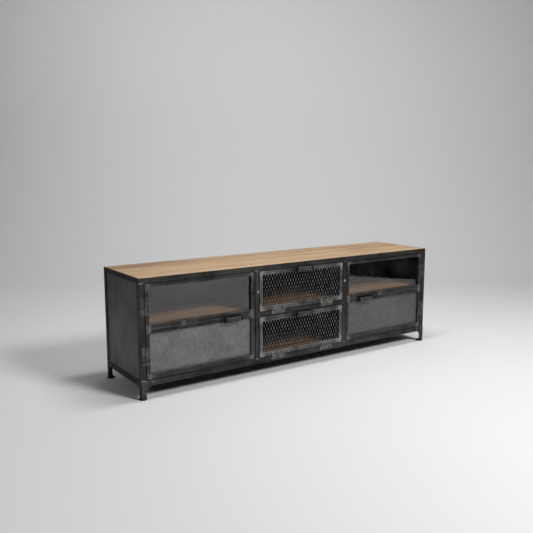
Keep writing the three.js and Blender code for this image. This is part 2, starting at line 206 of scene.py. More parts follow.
def steel(name, dark, light, streak=None, bars=None, patches=(), cloud=5.0, wear=0.6, edge=2.4,
          rough=(0.42, 0.62), metallic=0.55, scratch=0.35, contrast=1.0, gloss=0.5, ends=0.0, pull_shadows=(),
          inside=None):
    """Waxed raw steel: cloudy mill scale, brushed streaks, scratches and worn edges.

    streak is the axis that brushing follows. bars is (centre x, half width, stile, centre z, half
    height) of a frame whose stiles brush along Z and whose rails brush along X; its corners are
    ground bright and its outer edge carries painted shade, the shadow of the gap around it. patches
    are (x, z, radius) of other places that were ground after welding. pull_shadows are (x, z, half
    width, half height) of painted shadow behind a pull. wear brightens the edges within edge
    millimetres, or paints shade on them where it is negative. ends paints shade on the faces that
    look along X. inside is (axis, sign) of the way that a panel's inner face looks, which is matt and
    painted nearly black as shade.
    """
    g = Graph(name)
    coarse = g.noise(cloud, 6, roughness=0.62, distortion=0.4)
    blotch = g.noise(cloud * 4.3, 5, roughness=0.7)
    fine = g.noise(420, 3)
    ground = gap_shade = None
    if bars:
        centre_x, half_x, stile, centre_z, half_z = bars
        in_x = folded(g, "X", centre_x, half_x)
        in_z = folded(g, "Z", centre_z, half_z)
        upright = g.math("LESS_THAN", in_x, stile)
        rail_streak = g.noise(1, 4, g.scaled(BRUSHING["x"]))
        stile_streak = g.noise(1, 4, g.scaled(BRUSHING["z"]))
        brushed = g.blend(upright, rail_streak, stile_streak)
        ragged = g.math("ADD", g.length(in_x, in_z), g.times(blotch, GROUND_RAGGED))
        ground = g.step(ragged, *GROUND_REACH)
        gap_shade = g.step(g.math("MINIMUM", in_x, in_z), *GAP_SHADE_EDGE)
    else:
        brushed = g.noise(1, 4, g.scaled(BRUSHING[streak]))
    tone = g.sway(coarse, 2.6 * contrast)
    tone = g.sway(blotch, 1.2 * contrast, tone)
    tone = g.sway(brushed, 1.5 if streak or bars else 0.5, tone)
    tone = g.sway(fine, 0.35, tone, clamp=True)
    colour = g.mix(tone, dark, light)

    pale = (*(min(1.0, channel * 3.0 + 0.04) for channel in light[:3]), 1)
    sets = [g.step(g.noise(1, 2, g.scaled(scale, turn)), 0.68, 0.74) for scale, turn in SCRATCHES]
    marks = g.math("MAXIMUM", g.math("MAXIMUM", sets[0], sets[1]), sets[2])
    marks = g.times(marks, g.step(blotch, 0.42, 0.62))
    colour = g.mix(g.times(marks, scratch), colour, pale)

    for x, z, radius in patches:
        away = g.length(g.math("SUBTRACT", g.at("X"), x), g.math("SUBTRACT", g.at("Z"), z))
        ragged = g.math("ADD", away, g.times(blotch, radius))
        ground = g.math("MAXIMUM", ground, g.step(ragged, radius * 1.75, radius * 0.95))
    if ground is not None:
        colour = g.mix(g.times(ground, GROUND_COVER), colour, g.mix(blotch, light, pale))

    worn = g.times(g.times(near_edges(g, edge * MM), g.step(blotch, 0.30, 0.62)), max(wear, 0))
    colour = g.mix(worn, colour, pale)
    # painted shade: the outer edge of a frame is darkened as the shadow of the gap around it
    if gap_shade is not None:
        colour = g.mix(g.times(gap_shade, GAP_SHADE_COVER), colour, PAINTED_SHADE)
    # painted shade: negative wear darkens the edges, standing in for the shadow in the gaps beside them
    if wear < 0:
        colour = g.mix(g.times(near_edges(g, edge * MM), -wear), colour, PAINTED_SHADE)
    # painted shade: faces that look along X are darkened, as the cabinet's ends are in shade
    if ends:
        colour = g.mix(g.times(g.math("ABSOLUTE", g.facing("X")), ends), colour, PAINTED_SHADE)
    # painted shadow: a dark box behind a pull
    for x, z, half_x, half_z in pull_shadows:
        dx = g.math("ABSOLUTE", g.math("SUBTRACT", g.at("X"), x))
        dz = g.math("ABSOLUTE", g.math("SUBTRACT", g.at("Z"), z))
        cover = g.times(g.step(dx, half_x + 0.004, half_x - 0.004),
                        g.step(dz, half_z + 0.003, half_z - 0.003))
        colour = g.mix(g.times(cover, PULL_SHADOW_COVER), colour, PAINTED_SHADE)

    low, high = rough
    roughness = g.math("SUBTRACT", g.blend(tone, high, low), g.times(worn, 0.10))
    # painted shade: a panel's inner face is painted nearly black, as the inside of the bays is in shade
    if inside:
        axis, sign = inside
        inward = g.step(g.times(g.facing(axis), sign), 0.3, 0.7)
        colour = g.mix(inward, colour, g.mix(tone, INNER_SHADE_DARK, INNER_SHADE_LIGHT))
        roughness = g.math("MAXIMUM", roughness, g.times(inward, INNER_ROUGH))
        gloss = g.blend(inward, gloss, INNER_GLOSS)
    height = g.math("ADD", g.times(brushed, 0.4), g.times(fine, 0.35))
    height = g.math("ADD", height, g.times(coarse, 0.6))
    height = g.math("SUBTRACT", height, g.times(marks, 0.25))
    shader = g.add("BsdfPrincipled", {
        "Base Color": colour, "Roughness": roughness, "Metallic": metallic, "Specular IOR Level": gloss,
        "Normal": g.bump(height, 0.35, 0.0006),
    })
    return g.finish(shader.outputs[0])


UNDERSIDE_SHADE = linear(30, 24, 19)  # painted shade: every board is made dark on its downward faces


def wood(name, pale, mid, deep, rough=(0.42, 0.62), gloss=0.5, strip=None):
    """Boards with their grain along X: broad tone, brown streaks, fine pores and slight bump.

    strip is the y in front of which the board is paler, as a strip glued along its front edge.
    """
    g = Graph(name)
    broad = g.noise(1, 3, g.scaled((0.9, 11, 11)), distortion=0.5)
    grain = g.noise(1, 6, g.scaled((1.8, 55, 40)), roughness=0.62, distortion=0.8)
    fibre = g.noise(1, 5, g.scaled((9, 420, 300)), roughness=0.65)
    knots = g.noise(1, 3, g.scaled((2.6, 16, 16)), distortion=1.6)
    tone = g.sway(fibre, 1.1, g.sway(grain, 1.4, g.sway(broad, 1.3)), clamp=True)
    colour = g.ramp(tone, [(0.12, deep), (0.45, mid), (0.85, pale)])
    colour = g.mix(g.times(g.step(knots, 0.58, 0.72), 0.35), colour, deep)
    colour = g.mix(g.times(g.step(fibre, 0.40, 0.28), 0.35), colour, deep)
    if strip is not None:
        colour = g.mix(g.times(g.step(g.at("Y"), strip + 0.012, strip - 0.004), 0.45), colour, pale)
    # painted shade on the downward faces
    colour = g.mix(g.step(g.facing("Z"), -0.5, -0.9), colour, UNDERSIDE_SHADE)
    low, high = rough
    height = g.math("ADD", g.times(grain, 0.6), g.times(fibre, 0.4))
    shader = g.add("BsdfPrincipled", {
        "Base Color": colour, "Roughness": g.blend(fibre, high, low), "Specular IOR Level": gloss,
        "Normal": g.bump(height, 0.4, 0.0008),
    })
    return g.finish(shader.outputs[0])


PANE_SHEEN = 1.65  # sheen of both faces of a pane, as a multiple of one face's
PANE_HAZE = 0.02


def glass(name):
    """Clear pane with a little dust. The near face of each pane carries the sheen of both."""
    g = Graph(name)
    dust = g.noise(7, 5, roughness=0.7)
    smear = g.noise(1, 4, g.scaled((18, 18, 3)))
    clear = g.add("BsdfTransparent", {"Color": (0.90, 0.91, 0.905, 1)}).outputs[0]
    polish = g.blend(smear, 0.015, 0.05)
    gloss = g.add("BsdfGlossy", {"Color": (1, 1, 1, 1), "Roughness": polish}).outputs[0]
    film = g.add("BsdfDiffuse", {"Color": (0.5, 0.49, 0.47, 1)}).outputs[0]
    far_face = g.add("NewGeometry").outputs["Backfacing"]
    mirror = g.times(g.add("Fresnel", {"IOR": 1.5}).outputs[0], PANE_SHEEN)
    mirror = g.math("MULTIPLY", mirror, g.math("SUBTRACT", 1.0, far_face), clamp=True)
    sheen = g.add("MixShader", {0: mirror, 1: clear, 2: gloss}).outputs[0]
    haze = g.times(g.step(dust, 0.35, 0.8), PANE_HAZE)
    return g.finish(g.add("MixShader", {0: haze, 1: sheen, 2: film}).outputs[0])


def plastic(name):
    """Moulded black plastic with a fine grain and scuffs."""
    g = Graph(name)
    grain = g.noise(900, 3)
    scuff = g.noise(60, 5, roughness=0.7)
    colour = g.mix(g.step(scuff, 0.45, 0.75), linear(22, 22, 23), linear(58, 57, 56))
    shader = g.add("BsdfPrincipled", {
        "Base Color": colour, "Roughness": g.blend(scuff, 0.5, 0.75),
        "Normal": g.bump(grain, 0.3, 0.0002)})
    return g.finish(shader.outputs[0])


FRAME_DARK, FRAME_LIGHT = linear(18, 18, 18), linear(66, 65, 63)
LEAF_DARK, LEAF_LIGHT = linear(18, 18, 18), linear(66, 65, 64)
FLAP_DARK, FLAP_LIGHT = linear(34, 34, 34), linear(108, 107, 106)
SHEETS = {"left": (linear(88, 87, 89), linear(144, 142, 145)),
          "right": (linear(78, 78, 80), linear(116, 115, 118))}

look = {
    # painted shade on the frame bars: their edges beside the gaps are darkened by negative wear, and
    # their faces that look along X are darkened by ends
    "frame_x": steel("steel_frame_x", FRAME_DARK, FRAME_LIGHT, streak="x",
                     wear=-0.6, edge=4.0, ends=0.85),
    "frame_z": steel("steel_frame_z", FRAME_DARK, FRAME_LIGHT, streak="z",
                     wear=-0.6, edge=4.0, ends=0.4),
    # painted shade: the dividers are painted nearly black, as they stand in the shade inside the bays
    "inner": steel("steel_inner_painted_shade", INNER_SHADE_DARK, INNER_SHADE_LIGHT, streak="z", cloud=4, wear=0.2, scratch=0.1,
                   contrast=0.4, metallic=0.0, gloss=0.08, rough=(0.8, 0.95)),
    "mesh": steel("steel_mesh", linear(20, 20, 20), linear(66, 66, 65), wear=0.2, edge=0.8),
    # painted highlight: a lighter copy of the mesh steel for the knuckles, where the strands catch the
    # light
    "knuckle": steel("steel_knuckle_painted_highlight", linear(60, 60, 60), linear(160, 159, 157), cloud=30,
                     wear=0.4, edge=0.8, rough=(0.3, 0.5)),
    "hardware": steel("steel_hardware", linear(30, 30, 30), linear(136, 135, 133), cloud=44,
                      wear=0.8, edge=1.6, scratch=0.5),
    "door_hinge": steel("steel_door_hinge", linear(36, 36, 36), linear(100, 99, 98), cloud=24,
                        wear=0.7, edge=1.6, scratch=0.5),
    "bright": steel("steel_bright", linear(90, 90, 89), linear(190, 189, 186), cloud=60, wear=0.6,
                    edge=1.0, rough=(0.28, 0.45)),
    "pull": steel("steel_pull", linear(30, 30, 30), linear(88, 87, 86), streak="x", cloud=20,
                  wear=0.8, edge=1.6, scratch=0.4),
    "gusset": steel("steel_gusset", linear(28, 28, 28), linear(84, 83, 82), cloud=18, wear=0.7,
                    scratch=0.5),
    "screw": steel("steel_screw", linear(8, 8, 8), linear(30, 30, 30), cloud=60, wear=0.5, edge=0.8),
    "weld": steel("steel_weld", linear(70, 70, 70), linear(150, 149, 147), cloud=60, wear=0.6,
                  edge=1.0, rough=(0.32, 0.5)),
    "top_wood": wood("wood_top", linear(210, 178, 138), linear(184, 149, 110), linear(128, 95, 62),
                     strip=-0.168),
    "shelf_wood": wood("wood_shelf", linear(196, 152, 108), linear(168, 126, 86), linear(118, 84, 56),
                       rough=(0.6, 0.8), gloss=0.15),
    # painted shade: a darker copy of the shelf wood for the centre shelf and the bottom board, which sit
    # in shade behind the mesh
    "shaded_wood": wood("wood_inside_painted_shade", linear(152, 114, 76), linear(128, 93, 60), linear(88, 62, 40),
                     rough=(0.6, 0.8), gloss=0.15),
    "glass": glass("pane_glass"),
    "plastic": plastic("glide_plastic"),
}

for side, (dark, light) in SHEETS.items():
    look[side + "_sheet"] = steel(f"steel_{side}_sheet", dark, light, cloud=7, wear=0.3, scratch=0.12,
                                  rough=(0.44, 0.58), contrast=0.42)

# painted shade: each panel's inner face is painted nearly black
for panel, inside in (("left_side", ("X", 1)), ("right_side", ("X", -1)), ("back", ("Y", -1))):
    look[panel] = steel("steel_" + panel, linear(70, 70, 70), linear(106, 106, 106), streak="z",
                        cloud=4, wear=0.3, scratch=0.12, contrast=0.4, inside=inside)


def box_mm(name):
    low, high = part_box(name)
    return low / MM, high / MM


# painted shadow: a dark box just above each pull's middle, where the gap behind the strap is in shade
PULL_SHADOW_OFFSET = Vector((-0.003, 0, 0.006))  # from the middle of the pull
PULL_SHADOW_HALF_WIDTH, PULL_SHADOW_HALF_HEIGHT = 0.054, 0.015


def leaf_look(name, stile, dark, light, pull, patches=()):
    """Steel of one door or flap frame, brushed along each of its bars, with painted shadow behind its
    pull.
    """
    low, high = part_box(name)
    middle, half = (low + high) / 2, (high - low) / 2
    pull_low, pull_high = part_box(pull)
    spot = (pull_low + pull_high) / 2 + PULL_SHADOW_OFFSET
    pull_shadow = (spot.x, spot.z, PULL_SHADOW_HALF_WIDTH, PULL_SHADOW_HALF_HEIGHT)
    return steel("steel_" + name, dark, light, wear=0.85, scratch=0.5, edge=8.0, pull_shadows=(pull_shadow,),
                 bars=(middle.x, half.x, stile, middle.z, half.z), patches=patches)


DOOR_STILE = 20 * MM
FLAP_STILE = 20 * MM
DOOR_MID_Z = 322 * MM
WELD_PATCH = 0.024  # radius of the ground patch where a mid rail meets a stile
RAIL_PATCH_X = {"left": 0.19, "right": 0.25}  # a smaller patch on the mid rail, from its left end
RAIL_PATCH = 0.014
for side in ("left", "right"):
    name = side + "_door_frame"
    low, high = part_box(name)
    spots = [(low.x + DOOR_STILE / 2, DOOR_MID_Z, WELD_PATCH),
             (high.x - DOOR_STILE / 2, DOOR_MID_Z, WELD_PATCH),
             (low.x + RAIL_PATCH_X[side], DOOR_MID_Z + 0.006, RAIL_PATCH)]
    look[name] = leaf_look(name, DOOR_STILE, LEAF_DARK, LEAF_LIGHT, side + "_door_pull", spots)
for level in ("upper", "lower"):
    name = level + "_flap_frame"
    look[name] = leaf_look(name, FLAP_STILE, FLAP_DARK, FLAP_LIGHT, level + "_flap_pull")


# ---------------------------------------------------------------- kept CAD nodes

def dress(name, material, edge):
    """Gives a CAD node its material and rounds its edges by edge millimetres."""
    node = nodes[name]
    node.data.materials.clear()
    node.data.materials.append(look[material])
    weld = node.modifiers.new("weld", "WELD")
    weld.merge_threshold = 1e-5
    flat = node.modifiers.new("flat", "DECIMATE")
    flat.decimate_type = "DISSOLVE"
    flat.angle_limit = math.radians(1)
    bevel = node.modifiers.new("bevel", "BEVEL")
    bevel.width = edge * MM
    bevel.segments = 2
    bevel.limit_method = "ANGLE"
    bevel.angle_limit = math.radians(35)
    bevel.harden_normals = False


for name in ("top_rim", "bottom_rim", "flap_rail"):
    dress(name, "frame_x", 0.8)
for end in ("front_left", "front_right", "back_left", "back_right"):
    dress(end + "_post", "frame_z", 0.8)
for side in ("left", "right"):
    dress(side + "_centre_post", "frame_z", 0.8)
    dress(side + "_gusset", "gusset", 0.6)
    dress(side + "_side_panel", side + "_side", 0.4)
    dress(side + "_divider", "inner", 0.4)
    dress(side + "_shelf", "shelf_wood", 1.0)
    dress(side + "_door_panel", side + "_sheet", 0.4)
    dress(side + "_door_glass", "glass", 0.5)
    dress(side + "_door_frame", side + "_door_frame", 0.7)
dress("back_panel", "back", 0.4)
# these two boards take the painted-shade copy of the shelf wood
dress("centre_shelf", "shaded_wood", 1.0)
dress("bottom_board", "shaded_wood", 1.0)
dress("top_board", "top_wood", 1.0)
for level in ("upper", "lower"):
    dress(level + "_flap_frame", level + "_flap_frame", 0.7)


# ---------------------------------------------------------------- shape building

class Shape:
    """Closed bodies gathered into one mesh. Points are in millimetres until it is made."""

    def __init__(self):
        self.points, self.faces, self.paint, self.colour = [], [], [], 0

    def loft(self, rings, paints=None):
        """Skin from ring to ring, closed at both ends. paints gives each span its material."""
        base, count = len(self.points), len(rings[0])
        for ring in rings:
            self.points.extend(Vector(p) for p in ring)
        faces = []
        for i in range(len(rings) - 1):
            for j in range(count):
                a, b = base + i * count + j, base + i * count + (j + 1) % count
                faces.append((a, b, b + count, a + count))
        last = base + (len(rings) - 1) * count
        faces.append(tuple(range(base + count - 1, base - 1, -1)))
        faces.append(tuple(range(last, last + count)))
        self.faces += faces
        for span in range(len(rings) - 1):
            self.paint += [paints[span] if paints else self.colour] * count
        self.paint += [self.colour] * 2

    def turned(self, profile, place, sides=24, wobble=None):
        """Rings of (radius, height) round +Z, set in place by a matrix."""
        rings = []
        for radius, height in profile:
            ring = []
            for i in range(sides):
                angle = 2 * math.pi * i / sides
                r = radius * (wobble(angle) if wobble else 1)
                ring.append(place @ Vector((r * math.cos(angle), r * math.sin(angle), height)))
            rings.append(ring)
        self.loft(rings)

    def plate(self, outline, thickness, place, chamfer=0.4):
        """A flat plate: outline(inset) gives its points in X and Y, and it stands up +Z."""
        steps = ((chamfer, 0), (0, chamfer), (0, thickness - chamfer), (chamfer, thickness))
        self.loft([[place @ Vector((x, y, z)) for x, y in outline(inset)] for inset, z in steps])

    def make(self, name, body, materials, replaces=(), smooth=40):
        mesh = bpy.data.meshes.new(name)
        mesh.from_pydata([p * MM for p in self.points], [], self.faces)
        for material in materials:
            mesh.materials.append(look[material])
        mesh.polygons.foreach_set("material_index", self.paint)
        edit = bmesh.new()
        edit.from_mesh(mesh)
        bmesh.ops.recalc_face_normals(edit, faces=edit.faces)
        for edge in edit.edges:
            if len(edge.link_faces) == 2:
                edge.smooth = edge.calc_face_angle(0) < math.radians(smooth)
        for face in edit.faces:
            face.smooth = True
        edit.to_mesh(mesh)
        edit.free()
        piece = bpy.data.objects.new(name, mesh)
        scene.collection.objects.link(piece)
        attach(piece, body)
        if replaces:
            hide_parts(*replaces)
        return piece


def rounded(width, height, radius, steps=5):
    """Outline of a round-cornered rectangle about the origin, as a function of its inset."""

    def outline(inset=0):
        w, h, r = width / 2 - inset, height / 2 - inset, max(radius - inset, 0.05)
        corners = ((w - r, h - r, 0), (r - w, h - r, 90), (r - w, r - h, 180), (w - r, r - h, 270))
        return [(x + r * math.cos(math.radians(start + 90 * i / steps)),
                 y + r * math.sin(math.radians(start + 90 * i / steps)))
                for x, y, start in corners for i in range(steps + 1)]
    return outline


def domed(radius, height, rim=0.35, steps=5):
    """Profile of a dome-headed rivet or bolt that stands on z = 0."""
    profile = [(radius * 0.92, -0.2), (radius, 0), (radius, height * rim)]
    for i in range(1, steps + 1):
        angle = math.pi / 2 * i / steps
        profile.append((max(radius * math.cos(angle), radius * 0.06),
                        height * (rim + (1 - rim) * math.sin(angle))))
    return profile


def filleted(points, radius, steps=6):
    """A path of 2-D points with its inner corners rounded."""
    path = [Vector(points[0])]
    for before, corner, after in zip(points, points[1:], points[2:]):
        corner, a, b = Vector(corner), Vector(before) - Vector(corner), Vector(after) - Vector(corner)
        reach = min(radius * math.tan((math.pi - a.angle(b)) / 2), a.length * 0.48, b.length * 0.48)
        start, end = corner + a.normalized() * reach, corner + b.normalized() * reach
        for i in range(steps + 1):
            t = i / steps
            path.append(start * (1 - t) ** 2 + corner * 2 * t * (1 - t) + end * t ** 2)
    path.append(Vector(points[-1]))
    return path


def normals_along(path):
    """Unit normals of a 2-D path, to its left."""
    result = []
    for i in range(len(path)):
        tangent = path[min(i + 1, len(path) - 1)] - path[max(i - 1, 0)]
        result.append(Vector((-tangent.y, tangent.x)).normalized())
    return result


FACING_FRONT = Matrix.Rotation(math.radians(90), 4, "X")  # turns +Z to -Y


def facing_front(x, y, z):
    return Matrix.Translation((x, y, z)) @ FACING_FRONT


# ---------------------------------------------------------------- expanded metal

DIAMOND_WIDTH = 17.1
DIAMOND_HEIGHT = 36.4
STRAND_WIDTH = 2.3
STRAND_THICK = 1.1
STRAND_TILT = math.radians(24)
STRAND_SECTION = ((-1, -0.45), (-0.72, -1), (0.72, -1), (1, -0.45),
                  (1, 0.45), (0.72, 1), (-0.72, 1), (-1, 0.45))
KNUCKLE = 11.0
BORDER = 3.0
BORDER_THICK = 1.6
BORDER_CORNER = 0.6


def expanded_metal(level):
    """Upright zigzag strands that touch their neighbours at the knuckles, in a thin border."""
    low, high = box_mm(level + "_flap_mesh")
    centre = (low + high) / 2
    width, height = high.x - low.x, high.z - low.z
    shape = Shape()
    half_step = DIAMOND_WIDTH / 4
    count = int((width - BORDER) / (2 * half_step)) // 2 * 2
    inner_z = height / 2 - BORDER / 2
    rows = math.ceil(inner_z / (DIAMOND_HEIGHT / 2)) + 1
    across = STRAND_WIDTH / 2
    thick = STRAND_THICK / 2
    for column in range(count):
        x0 = centre.x + (column - (count - 1) / 2) * 2 * half_step
        path = []
        for row in range(-rows, rows + 1):
            side = 1 if (row + column) % 2 == 0 else -1
            z = row * DIAMOND_HEIGHT / 2
            x = x0 + side * (half_step - across * 0.55)
            path += [(x, z - KNUCKLE / 2), (x, z + KNUCKLE / 2)]
        cut, paints = [], []
        for index, ((xa, za), (xb, zb)) in enumerate(zip(path, path[1:])):
            inside_a, inside_b = abs(za) <= inner_z, abs(zb) <= inner_z
            knuckle_highlight = 1 - index % 2  # 1 along a knuckle, which takes the painted highlight, 0 along a slanting strand
            if inside_a:
                cut.append((xa, za))
                paints.append(knuckle_highlight)
            if inside_a != inside_b:
                edge = inner_z if max(za, zb) > inner_z else -inner_z
                t = (edge - za) / (zb - za)
                cut.append((xa + (xb - xa) * t, edge))
                paints.append(knuckle_highlight)
        cut = [Vector(p) for p in cut]
        rings = []
        for point, normal in zip(cut, normals_along(cut)):
            ring = []
            for u, v in STRAND_SECTION:
                a, b = u * across, v * thick
                side = a * math.cos(STRAND_TILT) - b * math.sin(STRAND_TILT)
                out = a * math.sin(STRAND_TILT) + b * math.cos(STRAND_TILT)
                ring.append((point.x + normal.x * side, centre.y + out,
                             centre.z + point.y + normal.y * side))
            rings.append(ring)
        shape.loft(rings, paints)
    for sign in (-1, 1):
        z = centre.z + sign * (height - BORDER) / 2
        rail = rounded(width, BORDER, BORDER_CORNER, 2)
        shape.plate(rail, BORDER_THICK, facing_front(centre.x, centre.y + BORDER_THICK / 2, z), 0.3)
        x = centre.x + sign * (width - BORDER) / 2
        post = rounded(BORDER, height - 2 * BORDER - 0.2, BORDER_CORNER, 2)
        shape.plate(post, BORDER_THICK, facing_front(x, centre.y + BORDER_THICK / 2, centre.z), 0.3)
    shape.make(level + "_flap_lattice", level + "_flap", ["mesh", "knuckle"],
               [level + "_flap_mesh"], smooth=30)


for level in ("upper", "lower"):
    expanded_metal(level)


# ---------------------------------------------------------------- pulls

STRAP = 3.0
PULL_BRIDGE = 92
PULL_SLANT = 4
PULL_END = 7  # radius of the feet's round ends
PULL_END_STEPS = (0, 0.4, 1.2, 2.5, 4.5, PULL_END)


def pull(name, body):
    """A strap bent into a bridge, with round-ended feet and a bolt through each."""
    low, high = box_mm(name)
    x0, z0, back = (low.x + high.x) / 2, (low.z + high.z) / 2, high.y
    half, end, tall = PULL_BRIDGE / 2, (high.x - low.x) / 2, (high.z - low.z) / 2
    out = high.y - low.y - STRAP / 2
    corners = [(-end, STRAP / 2), (-half + 1, STRAP / 2), (-half + PULL_SLANT, out),
               (half - PULL_SLANT, out), (half - 1, STRAP / 2), (end, STRAP / 2)]
    path = filleted(corners, 4)
    ends = [Vector((-end + d, STRAP / 2)) for d in PULL_END_STEPS]
    path = ends + path[1:-1] + [Vector((-p.x, p.y)) for p in reversed(ends)]
    rings = []
    for point, normal in zip(path, normals_along(path)):
        inset = min(point.x + end, end - point.x)
        short = max(PULL_END - inset, 0)
        reach = max(tall - PULL_END + math.sqrt(max(PULL_END ** 2 - short ** 2, 0)), 2.5)
        ring = []
        for u, v in ((-1, -1), (-1, 1), (1, 1), (1, -1)):
            for du, dv in (((0.3, 0), (0, 0.05)) if u * v > 0 else ((0, 0.05), (0.3, 0))):
                a = u * (STRAP / 2) * (1 - du)
                b = v * (reach - (0.7 if dv else 0))
                ring.append((a, b))
        rings.append([(x0 + point.x + normal.x * a, back - point.y - normal.y * a, z0 + b)
                      for a, b in ring])
    shape = Shape()
    feet = [min(a.y, b.y) < out * 0.55 for a, b in zip(path, path[1:])]  # the feet take the dark screw steel as painted shade
    shape.loft(rings, [int(foot) for foot in feet])
    shape.colour = 1
    for sign in (-1, 1):
        place = facing_front(x0 + sign * (half + end) / 2, back - STRAP, z0)
        shape.turned([(5.4, -0.1), (5.6, 0.3), (5.4, 0.8)], place, 28)
        shape.turned([(p, h + 0.8) for p, h in domed(4.0, 2.6)], place, 24)
    shape.make(name + "_strap", body, ["pull", "screw"], [name])


for side in ("left", "right"):
    pull(side + "_door_pull", side + "_door")
for level in ("upper", "lower"):
    pull(level + "_flap_pull", level + "_flap")


# ---------------------------------------------------------------- hinges

HINGE_LENGTH = 80
BARREL = 3.5
RELIEF = 4
LEAF_THICK = 2
SCREW_Z = (-27, 0, 27)
SCREW_HEAD = [(3.1, -0.2), (3.1, 0.2), (2.5, 0.75), (1.5, 0.9), (1.1, 0.5), (0.3, 0.45)]


def hinge_leaf(node, body, pin, turn, side, reach, material):
    """One leaf: a round-cornered plate, its knuckles round the pin and three screws.

    side is -1 for the fixed leaf, which has the outer knuckles and the pin, and 1 for the other.
    """
    place = Matrix.Translation(pin) @ Matrix.Rotation(turn, 4, "Y")
    shape = Shape()
    width = reach - RELIEF + 1.5
    middle = side * (RELIEF - 1.5 + width / 2)
    plate_at = place @ facing_front(middle, BARREL, 0)
    shape.plate(rounded(width, HINGE_LENGTH, 3), LEAF_THICK, plate_at, 0.5)
    half, knuckle, gap = HINGE_LENGTH / 2, HINGE_LENGTH / 6, 0.3
    spans = [(gap - knuckle, knuckle - gap)]
    if side < 0:
        spans = [(-half, -knuckle - gap), (knuckle + gap, half)]
    for low, high in spans:
        shape.turned([(BARREL - 0.4, low), (BARREL, low + 0.4),
                      (BARREL, high - 0.4), (BARREL - 0.4, high)], place, 28)
        root = rounded(RELIEF + 1, high - low - 1, 0.4, 2)
        at = place @ facing_front(side * (RELIEF + 1) / 2, BARREL - 0.05, (low + high) / 2)
        shape.plate(root, LEAF_THICK - 0.1, at, 0.3)
    shape.colour = 1
    for z in SCREW_Z:
        head = place @ facing_front(side * (RELIEF + reach) / 2 + side * 0.6, BARREL - LEAF_THICK, z)
        shape.turned(SCREW_HEAD, head, 20)
    if side < 0:
        for end, flip in ((-half, math.pi), (half, 0)):
            cap = place @ Matrix.Translation((0, 0, end)) @ Matrix.Rotation(flip, 4, "X")
            shape.turned(domed(2.4, 1.1), cap, 20)
    shape.make(node + "_plate", body, [material, "screw"], [node])


DOOR_REACH = 20
FLAP_REACH = 17
pins = {joint["name"]: Vector(joint["pos_m"]) / MM for joint in frame["joints"]}
for side, turn in (("left", 0), ("right", math.pi)):
    pin = pins[side + "_door_hinge"]
    for level in ("upper", "lower"):
        fixed = f"{side}_post_{level}_hinge_leaf"
        low, high = box_mm(fixed)
        at = Vector((pin.x, pin.y, (low.z + high.z) / 2))
        hinge_leaf(fixed, "cabinet", at, turn, -1, DOOR_REACH, "door_hinge")
        hinge_leaf(f"{side}_door_{level}_hinge_leaf", side + "_door", at, turn, 1, DOOR_REACH,
                   "door_hinge")
for level in ("upper", "lower"):
    pin = pins[level + "_flap_hinge"]
    for side in ("left", "right"):
        fixed = f"{level}_rail_{side}_hinge_leaf"
        low, high = box_mm(fixed)
        at = Vector(((low.x + high.x) / 2, pin.y, pin.z))
        hinge_leaf(fixed, "cabinet", at, -math.pi / 2, -1, FLAP_REACH, "hardware")
        hinge_leaf(f"{level}_flap_{side}_hinge_leaf", level + "_flap", at, -math.pi / 2, 1, FLAP_REACH,
                   "hardware")


# ---------------------------------------------------------------- hook latches and studs

HOOK_THICK = 3.0
HOOK_STANDS = 3.5
RING_OUTER = 7.5
RING_INNER = 5.0
RING_STEPS = 22
RING_SECTION = ((-1, -0.6), (-0.6, -1), (0.6, -1), (1, -0.6), (1, 0.6), (0.6, 1), (-0.6, 1), (-1, 0.6))
ARM_TALL = 6.4


def hook(side):
    """A flat arm on a pivot bolt, ending in a ring that is open below."""
    node = side + "_hook"
    pin = pins[side + "_hook_pivot"]
    stud_low, stud_high = box_mm(side + "_stud")
    ring_x = (stud_low.x + stud_high.x) / 2
    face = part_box(node)[1].y / MM
    near = face - HOOK_STANDS
    shape = Shape()
    reach = abs(ring_x - pin.x) - RING_OUTER + 1.6
    toward = 1 if ring_x > pin.x else -1
    arm = rounded(reach, ARM_TALL, 1.2, 3)
    arm_at = facing_front(pin.x + toward * reach / 2, near - 0.1, pin.z)
    shape.plate(arm, HOOK_THICK - 0.2, arm_at, 0.6)
    shape.turned([(5.6, 0), (6.4, 0.5), (6.4, HOOK_THICK - 0.5), (5.8, HOOK_THICK)],
                 facing_front(pin.x, near, pin.z), 28)
    shape.turned([(4.2, 0), (4.2, HOOK_STANDS + 0.2)], facing_front(pin.x, face, pin.z), 20)
    middle, half = (RING_OUTER + RING_INNER) / 2, (RING_OUTER - RING_INNER) / 2
    rings = []
    for i in range(RING_STEPS + 1):
        angle = math.radians(2 + 176 * i / RING_STEPS)
        lobe = 1 + 0.35 * max(0, math.cos(4 * angle)) ** 3
        ring = []
        for u, v in RING_SECTION:
            radius = middle + u * half * (1 if u < 0 else lobe * 0.9)
            ring.append((ring_x + radius * math.cos(angle), near - HOOK_THICK / 2 + v * HOOK_THICK / 2,
                         pin.z + radius * math.sin(angle)))
        rings.append(ring)
    shape.colour = 1
    shape.loft(rings)
    shape.colour = 0
    shape.turned(domed(3.6, 1.8), facing_front(pin.x, near - HOOK_THICK, pin.z), 20)
    shape.make(node + "_arm", node, ["screw", "bright"], [node])


def stud(side):
    """A round peg with a chamfered end and a collar at its root."""
    node = side + "_stud"
    low, high = box_mm(node)
    place = facing_front((low.x + high.x) / 2, high.y, (low.z + high.z) / 2)
    radius, length = (high.x - low.x) / 2, high.y - low.y
    shape = Shape()
    shape.turned([(radius + 1, 0), (radius + 1, 0.5), (radius, 1.0), (radius, length - 0.8),
                  (radius - 0.8, length - 0.1), (0.9, length), (0.4, length - 0.5)], place, 28)
    shape.make(node + "_peg", "cabinet", ["bright"], [node])


for side in ("left", "right"):
    hook(side)
    stud(side)


# ---------------------------------------------------------------- glides, rivets and welds

